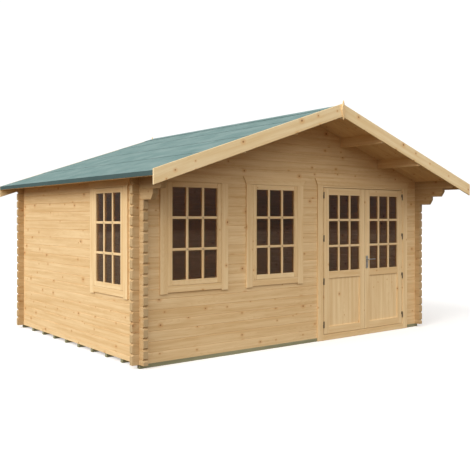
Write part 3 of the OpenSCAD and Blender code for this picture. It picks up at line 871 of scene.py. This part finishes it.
def lever(outward, face):
    """A neck that bends into a flat grip with a rounded end."""
    reach = leaf_front - lever_low.y - lever_r
    bend = 16 * MM
    tip = ((0.93, 3 * MM), (0.78, 3 * MM), (0.45, 1.5 * MM))
    nothing_selected()
    bpy.ops.mesh.primitive_circle_add(vertices=24, radius=lever_r, fill_type="NGON",
                                      rotation=(math.pi / 2, 0, 0),
                                      location=(spindle.x, face, spindle.z))
    arm = settle(bpy.context.active_object)
    pick(arm, lambda v: True)
    run = outward * (reach - bend)
    bpy.ops.mesh.extrude_region_move(TRANSFORM_OT_translate={"value": (0, run, 0)})
    bpy.ops.mesh.spin(steps=8, angle=outward * math.pi / 2,
                      center=(spindle.x + bend, face + run, spindle.z), axis=(0, 0, 1))
    grip = lever_high.x - lever_r - spindle.x - bend
    bpy.ops.mesh.extrude_region_move(TRANSFORM_OT_translate={"value": (grip, 0, 0)})
    bpy.ops.transform.resize(value=(1, 0.75, 1.0),
                             center_override=(spindle.x + bend + grip, face + outward * reach,
                                              spindle.z))
    for shrink, forward in tip:
        bpy.ops.mesh.extrude_region_move(TRANSFORM_OT_translate={"value": (forward, 0, 0)})
        bpy.ops.transform.resize(value=(1, shrink, shrink),
                                 center_override=(spindle.x, face + outward * reach, spindle.z))
    done()
    pick(arm, lambda v: True)
    bpy.ops.mesh.remove_doubles(threshold=0.00001)
    bpy.ops.mesh.normals_make_consistent(inside=False)
    done()
    only(arm)
    bpy.ops.object.shade_smooth_by_angle(angle=math.radians(40))
    return paint(arm, handle_metal)


levers = [lever(-1, leaf_front), lever(1, leaf_back)]
stand_in(joined("lever_pair", levers), "lever", "handle_steel", "lever_handle")


# ---- Light, floor and camera ----
nothing_selected()
bpy.ops.mesh.primitive_plane_add(size=120, location=(0, 0, 0))
ground_plane = bpy.context.active_object
ground_plane.name = "studio_floor"
floor_finish = Finish("studio_floor", **{"Roughness": 0.9, "Specular IOR Level": 0.0,
                                         "Emission Color": (1.0, 1.0, 1.0),
                                         "Emission Strength": 0.30})
cloud = floor_finish.noise(floor_finish.place(), 0.4, 2.0, 0.5)
floor_finish.colour(floor_finish.mix(cloud, (0.90, 0.90, 0.90), (0.93, 0.93, 0.93)))
paint(ground_plane, floor_finish.material)
# the floor neither lights the walls nor shows in the glass
ground_plane.visible_diffuse = False
ground_plane.visible_glossy = False

# a white backdrop, over soft light that is neutral from above and warm and weak from below
scene = bpy.context.scene
scene.world = bpy.data.worlds.new("studio")
sky = Nodes(scene.world)
backdrop = sky.node("Background", inputs={"Color": (1.0, 1.0, 1.0), "Strength": 1.05})
height = sky.node("SeparateXYZ", inputs={0: sky.node("TexCoord").outputs["Generated"]})
rise = sky.node("MapRange", inputs={"Value": height.outputs["Z"], "From Min": -1.0})
fade = sky.node("ValToRGB", {"stops": ((0.42, (0.165, 0.120, 0.080)),
                                       (0.58, (0.42, 0.41, 0.40)))},
                {"Fac": rise.outputs["Result"]})
ambient = sky.node("Background", inputs={"Color": fade.outputs["Color"], "Strength": 1.0})
either = sky.node("MixShader", inputs={0: sky.node("LightPath").outputs["Is Camera Ray"],
                                       1: ambient.outputs[0], 2: backdrop.outputs[0]})
sky.node("OutputWorld", inputs={"Surface": either.outputs[0]})


def soft_sun(name, energy, spread, colour, direction):
    """A broad soft light that shines along a direction."""
    sun = bpy.data.lights.new(name, "SUN")
    sun.energy, sun.angle, sun.color = energy, math.radians(spread), colour
    lamp = bpy.data.objects.new(name, sun)
    lamp.rotation_euler = Vector(direction).to_track_quat("-Z", "Y").to_euler()
    scene.collection.objects.link(lamp)


soft_sun("side_light", 2.5, 40, (1.0, 0.98, 0.94), (0.90, 0.06, -0.50))
soft_sun("front_light", 1.6, 70, (1.0, 0.98, 0.95), (0.30, 0.74, -0.60))

eye = bpy.data.cameras.new("eye")
eye.lens = 51.78
eye.sensor_width = 36
eye.shift_y = -0.0374
eye.clip_end = 300
viewer = bpy.data.objects.new("eye", eye)
viewer.location = (-5.9622, -7.8679, 1.6254)
viewer.rotation_euler = (math.pi / 2, 0, math.radians(-37.52))
scene.collection.objects.link(viewer)
scene.camera = viewer
scene.view_settings.view_transform = "Standard"
nothing_selected()
